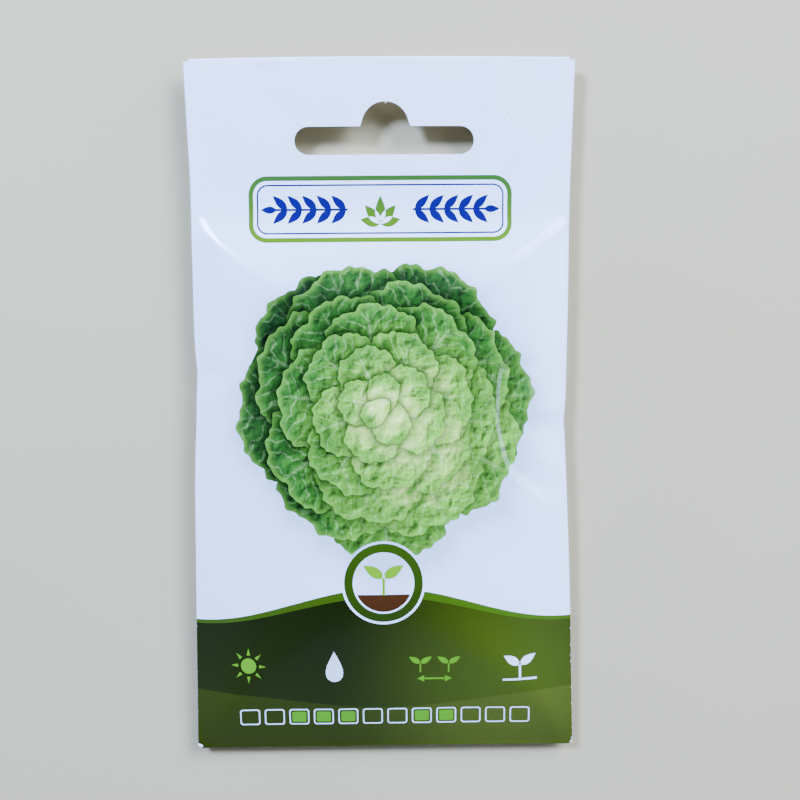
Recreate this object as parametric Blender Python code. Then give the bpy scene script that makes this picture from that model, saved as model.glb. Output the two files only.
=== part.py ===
"""Seed packet: one sheet of coated paper, die-cut, folded and glued round a few coated seeds.

The packet lies on its back. X runs across it, Y runs from its bottom fold up to its
header, and Z points away from the surface that it lies on. The origin is on that
surface, under the middle of the packet. All lengths are in metres.

The sheet is drawn as the surface halfway through the paper, and Solidify gives that
surface its thickness. From the front outwards the sheet holds:
  the front panel,
  a glue flap, joined to the front at the right side fold and tucked in behind it,
  the back panel, joined to the front at the left side fold, its free edge at the right,
  a top flap and a bottom flap, joined to the ends of the front and folded up behind.
The hang slot is punched through the front panel, the back panel and the top flap.
"""

import math
import random

import bmesh
import bpy
from mathutils import Matrix, Vector

# Folded size of the packet
WIDTH = 0.070
HEIGHT = 0.126
HALF_WIDTH = WIDTH / 2
HALF_HEIGHT = HEIGHT / 2

# Paper, and the spacing of layers that lie on each other
PAPER = 0.00016
PITCH = 0.00024
FRONT_LEVEL = 0.5 * PITCH
GLUE_FLAP_LEVEL = -0.5 * PITCH
BACK_LEVEL = -1.5 * PITCH
END_FLAP_LEVEL = -2.5 * PITCH
RIGHT_FOLD_RADIUS = (FRONT_LEVEL - GLUE_FLAP_LEVEL) / 2
LEFT_FOLD_RADIUS = (FRONT_LEVEL - BACK_LEVEL) / 2
END_FOLD_RADIUS = (FRONT_LEVEL - END_FLAP_LEVEL) / 2

# Flaps of the die-cut sheet
GLUE_FLAP_WIDTH = 0.012
GLUE_FLAP_CHAMFER = 0.004
BACK_EDGE_GAP = 0.0005
TOP_FLAP_HEIGHT = 0.022
BOTTOM_FLAP_HEIGHT = 0.013
TOP_FLAP_HALF_ROOT = 0.0341
BOTTOM_FLAP_HALF_ROOT = 0.0345
END_FLAP_TAPER = 0.12
CORNER_STEP = 0.0005

# Height of the side folds above the surface below, from the bottom to the header
FOLD_HEIGHT = 0.0031
FOLD_DROP = 0.0009
FOLD_DROP_FROM = -0.020
HEADER_RISE = 0.0003
HEADER_FROM = 0.030
HEADER_BOW = 0.0012

# Bulge of the front panel over the contents
BULGE = 0.0065
BULGE_END = 0.0365
HEADER_SLOPE = 0.38
BOTTOM_SLOPE = 0.24
RIDGE_SHARPNESS = 5.0

# How far the side folds are drawn in at each height: the folds run nearly straight
# between these places, with a kink where the paper has buckled
LEFT_PULL = (
    (-0.0625, 0.00013), (-0.036, 0.00043), (-0.027, 0.00058), (-0.014, 0.00068), (-0.008, 0.00087),
    (-0.002, 0.00118), (0.0035, 0.00134), (0.007, 0.00156), (0.010, 0.00130), (0.014, 0.00110),
    (0.030, 0.00097), (0.0415, 0.00090), (0.050, 0.00058), (0.0625, 0.00010),
)
RIGHT_PULL = (
    (-0.0625, 0.00008), (-0.039, 0.00055), (-0.027, 0.00092), (-0.0155, 0.00133), (-0.005, 0.00174),
    (-0.002, 0.00196), (0.0005, 0.00168), (0.0035, 0.00153), (0.018, 0.00118), (0.036, 0.00094),
    (0.0415, 0.00080), (0.050, 0.00046), (0.0625, 0.0),
)

# Pinched wrinkle at the right side fold
PINCH_Y = -0.0022
PINCH_HALF_HEIGHT = 0.0040
PINCH_REACH = 0.014
PINCH_DEPTH = 0.35

# Flat spot of the back panel, which the packet rests on
REST_HALF_WIDTH = 0.018
REST_TOP = 0.020
REST_BOTTOM = -0.038
REST_TO_HEADER = 0.025
REST_TO_BOTTOM_FOLD = 0.025
BACK_CURVE = 1.7

# Hang slot
SLOT_LENGTH = 0.0322
SLOT_HEIGHT = 0.00505
SLOT_CENTRE = Vector((0.0008, 0.0483))
SLOT_BUMP_OFFSET = 0.0002
SLOT_BUMP_BASE = 0.0090
SLOT_BUMP_RADIUS = 0.00425
SLOT_BUMP_RISE = 0.00433
SLOT_BUMP_TURN = 0.22
SLOT_END_SEGMENTS = 8
SLOT_BUMP_SEGMENTS = 10
SLOT_CUT_HEIGHT = 0.010

# Coated seeds
SEED_RADIUS = 0.0016
SEED_SPACING = 0.00295
SEED_JITTER = 0.00008
SEED_HEAP_CENTRE = Vector((0.001, -0.014))
SEED_HEAP_RADIUS = 0.0100
SEED_UPPER_RADIUS = 0.0040
SEED_LAYER_STEP = 0.00235
SEED_CLEARANCE = 0.0003
SEED_DRAW = 7

# Heights of the sheet's rows, closer together where the outline or the bulge turns
ROW_HEIGHTS = (
    -0.0625, -0.059, -0.055, -0.051, -0.047, -0.043, -0.039, -0.036, -0.0315, -0.027, -0.023, -0.019,
    -0.0155, -0.011, -0.008, -0.005, -0.002, 0.0005, 0.0035, 0.007, 0.010, 0.014, 0.018, 0.0225,
    0.027, 0.030, 0.0335, 0.036, 0.0385, 0.0415, 0.0455, 0.050, 0.054, 0.058, 0.0625,
)

# Cells of the folded sheet
FRONT_COLUMNS = 20
BACK_COLUMNS = 15
GLUE_FLAP_COLUMNS = 3
TOP_FLAP_ROWS = 6
BOTTOM_FLAP_ROWS = 4
END_FOLD_SEGMENTS = 4


def clear_scene():
    for old in list(bpy.data.objects):
        bpy.data.objects.remove(old, do_unlink=True)


def make_material(name, colour, roughness):
    material = bpy.data.materials.new(name)
    material.use_nodes = True
    shader = material.node_tree.nodes["Principled BSDF"]
    shader.inputs["Base Color"].default_value = (*colour, 1.0)
    shader.inputs["Roughness"].default_value = roughness
    shader.inputs["Metallic"].default_value = 0.0
    material.diffuse_color = (*colour, 1.0)
    return material


def link_object(name, mesh, material=None):
    made = bpy.data.objects.new(name, mesh)
    bpy.context.scene.collection.objects.link(made)
    if material is not None:
        mesh.materials.append(material)
    return made


def ease(t):
    """Smooth step from 0 to 1."""
    t = min(max(t, 0.0), 1.0)
    return t * t * (3.0 - 2.0 * t)


def across(u):
    """1 on the packet's centre line, 0 at a side fold."""
    return 1.0 - (u / HALF_WIDTH) ** 2


def fold_plane(u, y):
    """Height of the plane where front and back meet, bowed up in the header."""
    height = FOLD_HEIGHT
    height -= FOLD_DROP * ease((FOLD_DROP_FROM - y) / (HALF_HEIGHT + FOLD_DROP_FROM))
    in_header = ease((y - HEADER_FROM) / (HALF_HEIGHT - HEADER_FROM))
    return height + in_header * (HEADER_RISE + HEADER_BOW * max(across(u), 0.0))


def pinch(y):
    return math.exp(-((y - PINCH_Y) / PINCH_HALF_HEIGHT) ** 2)


def read_between(places, y):
    """A value read off a list of heights and values, straight between its entries."""
    if y <= places[0][0]:
        return places[0][1]
    for (low, first), (high, second) in zip(places, places[1:]):
        if y <= high:
            return first + (second - first) * (y - low) / (high - low)
    return places[-1][1]


def sheet_x(u, y):
    """Place across the packet of a point that lies u from the centre line of the flat sheet."""
    pull = read_between(RIGHT_PULL if u > 0.0 else LEFT_PULL, y)
    return u * (1.0 - pull / HALF_WIDTH)


def bulge(u, y):
    """Height of the front panel over its fold plane, with ridges where its slopes meet."""
    sides = BULGE * across(u)
    header_end = HEADER_SLOPE * (BULGE_END - y)
    bottom_end = BOTTOM_SLOPE * (y + HALF_HEIGHT - CORNER_STEP)
    slopes = (sides, header_end, bottom_end)
    if min(slopes) <= 1e-7:
        return 0.0
    total = sum((BULGE / slope) ** RIDGE_SHARPNESS for slope in slopes)
    height = BULGE * total ** (-1.0 / RIDGE_SHARPNESS)
    dent = PINCH_DEPTH * pinch(y) * ease(1.0 - (HALF_WIDTH - u) / PINCH_REACH)
    return height * (1.0 - dent)


def front_height(u, y):
    return fold_plane(u, y) + FRONT_LEVEL + bulge(u, y)


def back_height(u, y):
    """Height of the back panel: flat on the surface below, rising to its folds."""
    side = max(abs(u) - REST_HALF_WIDTH, 0.0) / (HALF_WIDTH - REST_HALF_WIDTH)
    header = ease((y - REST_TOP) / REST_TO_HEADER)
    bottom = min(max(REST_BOTTOM - y, 0.0) / REST_TO_BOTTOM_FOLD, 1.0)
    rise = (1.0 - header) * (1.0 - min(side, 1.0) ** BACK_CURVE) * (1.0 - bottom ** BACK_CURVE)
    lowest = PAPER / 2
    return lowest + (fold_plane(u, y) + BACK_LEVEL - lowest) * (1.0 - rise)


def front_point(u, y):
    return Vector((sheet_x(u, y), y, front_height(u, y)))


def back_point(u, y):
    return Vector((sheet_x(u, y), y, back_height(u, y)))


def glue_flap_point(u, y):
    """The glue flap lies on the inner face of the back panel."""
    raised = Vector((0.0, 0.0, GLUE_FLAP_LEVEL - BACK_LEVEL))
    return back_point(u, y) + raised


def spaced(start, stop, cells):
    """Evenly spaced values from start to stop, both included."""
    return [start + (stop - start) * i / cells for i in range(cells + 1)]


def front_columns(y):
    """Columns of the front panel, left to right, that end between the sides of the end flaps."""
    upward = (y + HALF_HEIGHT) / HEIGHT
    half = BOTTOM_FLAP_HALF_ROOT + (TOP_FLAP_HALF_ROOT - BOTTOM_FLAP_HALF_ROOT) * upward
    inner = spaced(-half, half, FRONT_COLUMNS)
    return [LEFT_FOLD_RADIUS - HALF_WIDTH] + inner + [HALF_WIDTH - RIGHT_FOLD_RADIUS]


def section(y):
    """The sheet's line at one height: glue flap, right fold, front, left fold, back panel."""
    end = HALF_HEIGHT - CORNER_STEP - abs(y)
    flap_width = GLUE_FLAP_WIDTH - GLUE_FLAP_CHAMFER * (1.0 - ease(end / GLUE_FLAP_WIDTH))
    line = []
    for u in spaced(HALF_WIDTH - flap_width, HALF_WIDTH - RIGHT_FOLD_RADIUS, GLUE_FLAP_COLUMNS):
        line.append(glue_flap_point(u, y))
    line.append(Vector((sheet_x(HALF_WIDTH, y), y, fold_plane(HALF_WIDTH, y))))
    columns = front_columns(y)
    for u in reversed(columns):
        line.append(front_point(u, y))
    left_middle = fold_plane(-HALF_WIDTH, y) + BACK_LEVEL + LEFT_FOLD_RADIUS
    line.append(Vector((sheet_x(-HALF_WIDTH, y), y, left_middle)))
    for u in spaced(columns[0], HALF_WIDTH - BACK_EDGE_GAP, BACK_COLUMNS):
        line.append(back_point(u, y))
    return line


def add_line(mesh, points):
    return [mesh.verts.new(point) for point in points]


def join_lines(mesh, lower, upper):
    """Faces between two lines of vertices that run right to left, lower towards upper."""
    for i in range(len(lower) - 1):
        mesh.faces.new((lower[i], upper[i], upper[i + 1], lower[i + 1]))


def end_fold_line(end, angle, columns):
    """A line on an end fold, which turns from the front round the back panel's edge."""
    root_y = end * (HALF_HEIGHT - END_FOLD_RADIUS)
    points = []
    for u in reversed(columns):
        y = root_y + end * END_FOLD_RADIUS * math.sin(angle)
        level = END_FLAP_LEVEL + END_FOLD_RADIUS * (1.0 + math.cos(angle))
        points.append(Vector((sheet_x(u, root_y), y, fold_plane(u, root_y) + level)))
    return points


def end_flap_line(end, depth, flap_height, columns):
    """A line across an end flap, depth along it from its fold, under the back panel."""
    y = end * (HALF_HEIGHT - END_FOLD_RADIUS - depth)
    narrowing = 1.0 - END_FLAP_TAPER * depth / flap_height
    below = Vector((0.0, 0.0, END_FLAP_LEVEL - BACK_LEVEL))
    return [back_point(u * narrowing, y) + below for u in reversed(columns)]


def add_end_flap(mesh, start_line, end, flap_height, flap_rows):
    """Fold the front panel's end round behind the back panel and run it along it."""
    columns = front_columns(end * HALF_HEIGHT)[1:-1]
    line = start_line
    for angle in spaced(0.0, math.pi, END_FOLD_SEGMENTS):
        following = add_line(mesh, end_fold_line(end, angle, columns))
        join_lines(mesh, line, following)
        line = following
    for depth in spaced(0.0, flap_height, flap_rows)[1:]:
        following = add_line(mesh, end_flap_line(end, depth, flap_height, columns))
        join_lines(mesh, line, following)
        line = following


def sheet_mesh():
    """The whole sheet as one surface, halfway through the paper."""
    mesh = bmesh.new()
    lines = []
    for y in ROW_HEIGHTS:
        lines.append(add_line(mesh, section(y)))
    for lower, upper in zip(lines, lines[1:]):
        join_lines(mesh, lower, upper)
    first_front = GLUE_FLAP_COLUMNS + 2
    inner = slice(first_front + 1, first_front + 2 + FRONT_COLUMNS)
    add_end_flap(mesh, lines[-1][inner], 1.0, TOP_FLAP_HEIGHT, TOP_FLAP_ROWS)
    add_end_flap(mesh, lines[0][inner], -1.0, BOTTOM_FLAP_HEIGHT, BOTTOM_FLAP_ROWS)
    bmesh.ops.recalc_face_normals(mesh, faces=mesh.faces)
    bmesh.ops.triangulate(mesh, faces=mesh.faces)
    result = bpy.data.meshes.new("folded_sheet")
    mesh.to_mesh(result)
    mesh.free()
    return result


def slot_outline():
    """Outline of the hang slot: a long hole with round ends and a bump over its middle."""
    half_straight = (SLOT_LENGTH - SLOT_HEIGHT) / 2
    end_radius = SLOT_HEIGHT / 2
    points = []
    for angle in spaced(-math.pi / 2, math.pi / 2, SLOT_END_SEGMENTS):
        points.append((half_straight + end_radius * math.cos(angle), end_radius * math.sin(angle)))
    points.append((SLOT_BUMP_OFFSET + SLOT_BUMP_BASE / 2, end_radius))
    bump_centre = end_radius + SLOT_BUMP_RISE - SLOT_BUMP_RADIUS
    for angle in spaced(SLOT_BUMP_TURN, math.pi - SLOT_BUMP_TURN, SLOT_BUMP_SEGMENTS):
        x = SLOT_BUMP_OFFSET + SLOT_BUMP_RADIUS * math.cos(angle)
        points.append((x, bump_centre + SLOT_BUMP_RADIUS * math.sin(angle)))
    points.append((SLOT_BUMP_OFFSET - SLOT_BUMP_BASE / 2, end_radius))
    for angle in spaced(math.pi / 2, 3 * math.pi / 2, SLOT_END_SEGMENTS):
        points.append((-half_straight + end_radius * math.cos(angle), end_radius * math.sin(angle)))
    return points


def make_slot_cutter():
    mesh = bmesh.new()
    corners = [mesh.verts.new((SLOT_CENTRE.x + x, SLOT_CENTRE.y + y, 0.0)) for x, y in slot_outline()]
    base = mesh.faces.new(corners)
    grown = bmesh.ops.extrude_face_region(mesh, geom=[base])
    raised = [item for item in grown["geom"] if isinstance(item, bmesh.types.BMVert)]
    bmesh.ops.translate(mesh, verts=raised, vec=(0.0, 0.0, SLOT_CUT_HEIGHT))
    bmesh.ops.recalc_face_normals(mesh, faces=mesh.faces)
    data = bpy.data.meshes.new("slot_cutter")
    mesh.to_mesh(data)
    mesh.free()
    cutter = link_object("slot_cutter", data)
    cutter.hide_render = True
    cutter.display_type = "WIRE"
    return cutter


def make_envelope(material):
    envelope = link_object("paper_envelope", sheet_mesh(), material)
    wall = envelope.modifiers.new("paper_thickness", "SOLIDIFY")
    wall.thickness = PAPER
    wall.offset = 0.0
    wall.use_even_offset = True
    wall.use_quality_normals = True
    punch = envelope.modifiers.new("hang_slot", "BOOLEAN")
    punch.operation = "DIFFERENCE"
    punch.object = make_slot_cutter()
    return envelope


def heap_places():
    """Places of the coated seeds: a close-packed patch with a few more in its hollows."""
    draw = random.Random(SEED_DRAW)
    ground = PAPER + SEED_CLEARANCE + SEED_RADIUS + SEED_JITTER
    row_step = SEED_SPACING * math.sqrt(3) / 2
    reach = math.ceil(SEED_HEAP_RADIUS / row_step)
    layers = ((SEED_HEAP_RADIUS, 0.0, 0.0), (SEED_UPPER_RADIUS, row_step * 2 / 3, SEED_LAYER_STEP))
    places = []
    for limit, shift, lift in layers:
        for row in range(-reach, reach + 1):
            for column in range(-reach, reach + 1):
                x = (column + (row % 2) / 2) * SEED_SPACING
                y = row * row_step + shift
                if math.hypot(x, y) > limit:
                    continue
                nudge = Vector([draw.uniform(-SEED_JITTER, SEED_JITTER) for _ in range(3)])
                centre = Vector((SEED_HEAP_CENTRE.x + x, SEED_HEAP_CENTRE.y + y, ground + lift))
                places.append(centre + nudge)
    return places


def seed_mesh(index, draw):
    mesh = bmesh.new()
    turn = Matrix.Rotation(draw.uniform(0.0, math.tau), 4, Vector((draw.random(), draw.random(), 1.0)))
    bmesh.ops.create_icosphere(mesh, subdivisions=2, radius=SEED_RADIUS, matrix=turn)
    data = bpy.data.meshes.new(f"seed_{index}")
    mesh.to_mesh(data)
    mesh.free()
    return data


def make_seeds(material):
    """The seeds touch each other where they lie, and one union joins them."""
    draw = random.Random(SEED_DRAW + 1)
    heap = bpy.data.collections.new("seed_heap")
    bpy.context.scene.collection.children.link(heap)
    places = heap_places()
    seeds = link_object("coated_seeds", seed_mesh(0, draw), material)
    seeds.data.transform(Matrix.Translation(places[0]))
    for index, place in enumerate(places[1:], start=1):
        single = bpy.data.objects.new(f"seed_{index}", seed_mesh(index, draw))
        single.data.transform(Matrix.Translation(place))
        heap.objects.link(single)
    union = seeds.modifiers.new("join", "BOOLEAN")
    union.operation = "UNION"
    union.operand_type = "COLLECTION"
    union.collection = heap
    bpy.context.view_layer.update()
    depsgraph = bpy.context.evaluated_depsgraph_get()
    joined = bpy.data.meshes.new_from_object(seeds.evaluated_get(depsgraph))
    seeds.modifiers.remove(union)
    seeds.data = joined
    for single in list(heap.objects):
        bpy.data.objects.remove(single, do_unlink=True)
    bpy.data.collections.remove(heap)
    seeds.data.shade_smooth()
    return seeds


def main():
    clear_scene()
    paper = make_material("coated_paper", (0.86, 0.89, 0.94), 0.25)
    coating = make_material("seed_coating", (0.62, 0.42, 0.22), 0.7)
    make_envelope(paper)
    make_seeds(coating)


main()
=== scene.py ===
"""Looks of the seed packet: a printed, varnished paper envelope with coated seeds inside.

The envelope is drawn flat, as the printer's sheet with its print, its die-cut outline and
its hang slot, then folded by the same rules as the model's own solid. Lengths in this
script are in millimetres until a mesh or a light is placed.
"""

import math
import random

import bpy
import numpy as np
from mathutils import Matrix, Vector
from mathutils.geometry import delaunay_2d_cdt
from mathutils.kdtree import KDTree


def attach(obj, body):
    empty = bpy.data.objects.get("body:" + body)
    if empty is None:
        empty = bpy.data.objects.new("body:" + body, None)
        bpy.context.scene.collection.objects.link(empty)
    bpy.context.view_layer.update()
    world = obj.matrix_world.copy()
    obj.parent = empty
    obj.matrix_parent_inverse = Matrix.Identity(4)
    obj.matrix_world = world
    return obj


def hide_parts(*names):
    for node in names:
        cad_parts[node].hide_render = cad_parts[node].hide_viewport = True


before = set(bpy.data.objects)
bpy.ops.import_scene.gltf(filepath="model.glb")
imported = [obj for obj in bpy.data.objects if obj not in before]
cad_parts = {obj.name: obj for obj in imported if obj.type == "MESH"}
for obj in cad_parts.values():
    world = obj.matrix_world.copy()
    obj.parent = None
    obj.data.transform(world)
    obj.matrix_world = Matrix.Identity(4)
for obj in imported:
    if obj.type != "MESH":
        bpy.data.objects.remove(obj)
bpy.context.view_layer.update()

MM = 0.001

# Folded size of the packet, as in the model
HALF_WIDTH = 35.0
HALF_HEIGHT = 63.0
PAPER = 0.16
PITCH = 0.24
FRONT_LEVEL = 0.5 * PITCH
BACK_LEVEL = -1.5 * PITCH
END_FLAP_LEVEL = -2.5 * PITCH
RIGHT_RADIUS = 0.5 * PITCH
LEFT_RADIUS = 1.0 * PITCH
END_RADIUS = 1.5 * PITCH

# Flaps
GLUE_FLAP_WIDTH = 12.0
GLUE_FLAP_CHAMFER = 4.0
BACK_EDGE_GAP = 0.5
TOP_FLAP_HEIGHT = 22.0
BOTTOM_FLAP_HEIGHT = 13.0
TOP_FLAP_HALF_ROOT = 34.1
BOTTOM_FLAP_HALF_ROOT = 34.5
END_FLAP_TAPER = 0.12
CORNER_STEP = 0.5

# Side folds, header and bulge
FOLD_HEIGHT = 3.1
FOLD_DROP = 0.9
FOLD_DROP_FROM = -20.0
HEADER_RISE = 0.3
HEADER_FROM = 30.0
HEADER_BOW = 1.2
BULGE = 6.25
BULGE_END = 34.85
CREST = 0.06
BULGE_START_WIDTH = 1.6
HEADER_SLOPE = 0.38
BOTTOM_SLOPE = 0.24
RIDGE_ROUNDING = 0.4
RIDGE_ROUNDING_MIDDLE = 1.0
RIDGE_ROUNDING_FOLD = 1.3
RIDGE_FOLD_REACH = 3.0
PINCH_Y = -4.1
PINCH_ABOVE = 3.6
PINCH_BELOW = 6.0
PINCH_REACH = 9.0
PINCH_DEPTH = 0.6
LOOSE_HEIGHT = 2.0

# How far each side fold is drawn in, as pairs of height on the packet and pull
LEFT_PULL = (
    (-62.5, 0.13), (-36.0, 0.43), (-27.0, 0.58), (-14.0, 0.68), (-8.0, 0.87), (-2.0, 1.18),
    (3.5, 1.34), (7.0, 1.56), (10.0, 1.30), (14.0, 1.10), (30.0, 0.97), (41.5, 0.90),
    (50.0, 0.58), (62.5, 0.10),
)
RIGHT_PULL = (
    (-62.5, 0.08), (-39.0, 0.55), (-27.0, 0.92), (-15.5, 1.33), (-5.0, 1.74), (-2.0, 1.96),
    (0.5, 1.68), (3.5, 1.53), (18.0, 1.18), (36.0, 0.94), (41.5, 0.80), (50.0, 0.46), (62.5, 0.0),
)

# The flat spot on the back that the packet rests on
REST_HALF_WIDTH = 18.0
REST_TOP = 20.0
REST_BOTTOM = -38.0
REST_TO_HEADER = 25.0
REST_TO_BOTTOM_FOLD = 25.0
BACK_CURVE = 1.7

# Hang slot
SLOT_LENGTH = 32.2
SLOT_HEIGHT = 5.05
SLOT_CENTRE = (0.8, 48.3)
SLOT_BUMP_BASE = 9.0
SLOT_BUMP_RADIUS = 4.25
SLOT_BUMP_RISE = 4.33
SLOT_BUMP_TURN = 0.22
SLOT_BUMP_SHIFT = 0.2
BACK_SLOT_SHIFT = 0.2

# Nicks in the slot's edge: at the top of the bump, between two turns, and in the lower edge
SLOT_NICK = 0.4
BUMP_NICK_START = 1.47
BUMP_NICK_END = 1.55
LOWER_NICK = 0.28
LOWER_NICK_PLACE = 1.3
LOWER_NICK_WIDTH = 0.3

# Where the flat sheet's panels begin and end, and its end flaps: end, half root, height
FRONT_LEFT = LEFT_RADIUS - HALF_WIDTH
FRONT_RIGHT = HALF_WIDTH - RIGHT_RADIUS
BACK_START = FRONT_LEFT - math.pi * LEFT_RADIUS
BACK_END = BACK_START - (HALF_WIDTH - BACK_EDGE_GAP - FRONT_LEFT)
GLUE_START = FRONT_RIGHT + math.pi * RIGHT_RADIUS
END_ROOT = HALF_HEIGHT - END_RADIUS
FLAP_START = END_ROOT + math.pi * END_RADIUS
PANEL_END = HALF_HEIGHT - CORNER_STEP
BACK_MIDDLE = BACK_START - HALF_WIDTH
END_FLAPS = (
    (-1, BOTTOM_FLAP_HALF_ROOT, BOTTOM_FLAP_HEIGHT),
    (1, TOP_FLAP_HALF_ROOT, TOP_FLAP_HEIGHT),
)

# The sheet's print coordinates are its millimetres, scaled into one UV square
SHEET_SPAN = 180.0
SHEET_LEFT = -110.0
SHEET_BOTTOM = -90.0


# Camera, floor and lights

CAMERA_PLACE = (1.2, 12.2, 185.2)
# The turn's axis, with the turn in degrees as its length
CAMERA_TURN = (-3.27, -0.66, -0.50)
CAMERA_LENS = 45.0
SENSOR = 36.0
NEAREST_VIEW = 10.0
FLOOR_RADIUS = 1500.0
FLOOR_HEIGHT = -0.2
DAYLIGHT = (0.50, 0.66, 1.0, 1.0)
DAYLIGHT_AROUND = 0.46
DAYLIGHT_OVERHEAD = 0.09
# Name, place, size, power in watts and colour
SOFTBOXES = (
    ("left_window", (-378, 353, 520), 170, 20.5, (0.34, 0.50, 1.0)),
    ("right_window", (545, 14, 421), 200, 1.4, (0.52, 0.68, 1.0)),
    ("soft_panel", (480, 480, 480), 460, 32.5, (0.45, 0.60, 1.0)),
)


def add_camera():
    turn = Vector([math.radians(angle) for angle in CAMERA_TURN])
    bpy.ops.object.camera_add()
    camera = bpy.context.object
    camera.name = "camera"
    place = Matrix.Translation(Vector(CAMERA_PLACE) * MM)
    camera.matrix_world = place @ Matrix.Rotation(turn.length, 4, turn.normalized())
    camera.data.lens = CAMERA_LENS
    camera.data.sensor_width = SENSOR
    camera.data.clip_start = NEAREST_VIEW * MM
    bpy.context.scene.camera = camera


def add_softbox(name, place, size, power, colour):
    """A square soft light that is aimed at the packet's middle."""
    bpy.ops.object.light_add(type="AREA", location=Vector(place) * MM)
    lamp = bpy.context.object
    lamp.name = name
    aim = -Vector(place)
    lamp.rotation_euler = aim.to_track_quat("-Z", "Y").to_euler()
    lamp.data.size = size * MM
    lamp.data.energy = power
    lamp.data.color = colour


def add_stage():
    bpy.ops.mesh.primitive_circle_add(vertices=64, radius=FLOOR_RADIUS * MM, fill_type="NGON",
                                      location=(0, 0, FLOOR_HEIGHT * MM))
    floor = bpy.context.object
    floor.name = "floor"
    bpy.ops.object.transform_apply(location=True, rotation=False, scale=False)
    floor.data.materials.append(painted_board())


def add_daylight():
    """Cool daylight from all round, dim overhead, and from two windows and a wide soft panel."""
    world = bpy.data.worlds.new("studio")
    world.use_nodes = True
    tree = world.node_tree
    direction = add_node(tree, "TexCoord")
    axes = add_node(tree, "SeparateXYZ", None, {"Vector": direction.outputs["Generated"]})
    brightness = add_node(tree, "MapRange", SMOOTH, {
        "Value": axes.outputs["Z"], "From Min": 0.6, "From Max": 0.95,
        "To Min": DAYLIGHT_AROUND, "To Max": DAYLIGHT_OVERHEAD})
    set_inputs(tree, tree.nodes["Background"], {"Color": DAYLIGHT, "Strength": brightness})
    bpy.context.scene.world = world
    for softbox in SOFTBOXES:
        add_softbox(*softbox)


# Materials

SMOOTH = {"interpolation_type": "SMOOTHSTEP"}
ADD = {"operation": "ADD"}
SUBTRACT = {"operation": "SUBTRACT"}
MULTIPLY = {"operation": "MULTIPLY"}
MULTIPLY_ADD = {"operation": "MULTIPLY_ADD"}
SCALE = {"operation": "SCALE"}
MIX = {"data_type": "RGBA"}
MIX_DARKER = {"data_type": "RGBA", "blend_type": "MULTIPLY"}
MIX_CONTRAST = {"data_type": "RGBA", "blend_type": "OVERLAY"}
# Inputs of a colour mix: the colour that is there, and the one that its factor lays over it
UNDER = 6
OVER = 7

# Painted sheen on the green inks, and the leaves' paler side that is partly painted sheen, in millimetres
# of the sheet
SHEEN_CENTRE = (23.0, -49.0)
SHEEN_REACH = 35.0
# The leaves' paler side is partly the picture's own light and partly painted sheen of the varnish
PALE_SHEEN_SIDE = (0.7, -0.7, 0.0)
PALE_SHEEN_FROM = 6.0
PALE_SHEEN_TO = 34.0
PALE_SHEEN_STRENGTH = 0.40
PALE_SHEEN_SHADE = 0.75

# Printed leaves: lengths are shares of the leaf's own length or width
BLADE_DRIFT = 0.28
HEART_PALENESS = 0.46
RIB_TAPER = 0.09
RIB_OUTSIDE = 0.10
RIB_INSIDE = 0.02
RIB_STRENGTH = 0.8
VEINS = 7.0
VEIN_SLANT = 6.5
VEIN_WANDER = 2.2
VEIN_OUTSIDE = 0.13
VEIN_INSIDE = 0.02
BLISTER_LIGHT = (-0.4, 0.4, 0.0)
BLISTER_SLOPE = 0.22
BLISTER_STRENGTH = 0.8

# Shade on bare paper, and how worn an ink is where paper begins to show and shows in full
WHITE_SHADE = 0.45
PAPER_SHOWS_FROM = 0.50
PAPER_SHOWS_TO = 0.56

# Colours at the bottom and top of each ink's range, the range, how white it wears, its painted sheen
INKS = {
    "stripe_ink": ("#344A08", "#364C08", -42.0, -30.0, 0.8, "#41600C"),
    "band_ink": ("#1F2702", "#111902", -62.0, -33.0, 0.9, "#3E4B0B"),
    "field_ink": ("#282F03", "#2B3504", -62.0, -50.0, 0.9, "#4A5214"),
    "frame_ink": ("#54750A", "#345C20", 30.0, 42.0),
    "navy_ink": ("#0F0551", "#10065B", 30.0, 42.0),
    "badge_ink": ("#253605", "#2E4408", -38.0, -23.0),
    "light_green_ink": ("#4E9418", "#6E9C12", -60.0, -25.0),
    "white_ink": ("#DCE4EE", "#DCE4EE"),
    "soil_ink": ("#3E1F0A", "#4F2B10", -40.0, -10.0),
    "grey_ink": ("#65615F", "#65615F"),
}


def linear(hex_colour):
    """An sRGB hex colour as linear red, green, blue and alpha."""
    parts = [int(hex_colour[i:i + 2], 16) / 255 for i in (1, 3, 5)]
    return tuple(c / 12.92 if c <= 0.04045 else ((c + 0.055) / 1.055) ** 2.4 for c in parts) + (1.0,)


def new_material(name):
    material = bpy.data.materials.new(name)
    material.use_nodes = True
    return material, material.node_tree, material.node_tree.nodes["Principled BSDF"]


def set_inputs(tree, node, inputs):
    """Give a node's inputs their values, or link them to a socket or another node.

    Another node is linked by the first output that its settings leave in use.
    """
    for key, value in inputs.items():
        if isinstance(value, bpy.types.Node):
            value = next(output for output in value.outputs if output.enabled)
        if isinstance(value, bpy.types.NodeSocket):
            tree.links.new(value, node.inputs[key])
        else:
            node.inputs[key].default_value = value


def add_node(tree, kind, settings=None, inputs=None):
    """Add a node, set its properties, and set or link its inputs."""
    node = tree.nodes.new("ShaderNode" + kind)
    for name, value in (settings or {}).items():
        setattr(node, name, value)
    set_inputs(tree, node, inputs or {})
    return node


def set_ramp(node, stops):
    """Give a colour ramp its stops, as pairs of place and hex colour."""
    ramp = node.color_ramp
    while len(ramp.elements) < len(stops):
        ramp.elements.new(1.0)
    for element, (place, colour) in zip(ramp.elements, stops):
        element.position = place
        element.color = linear(colour)


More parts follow.
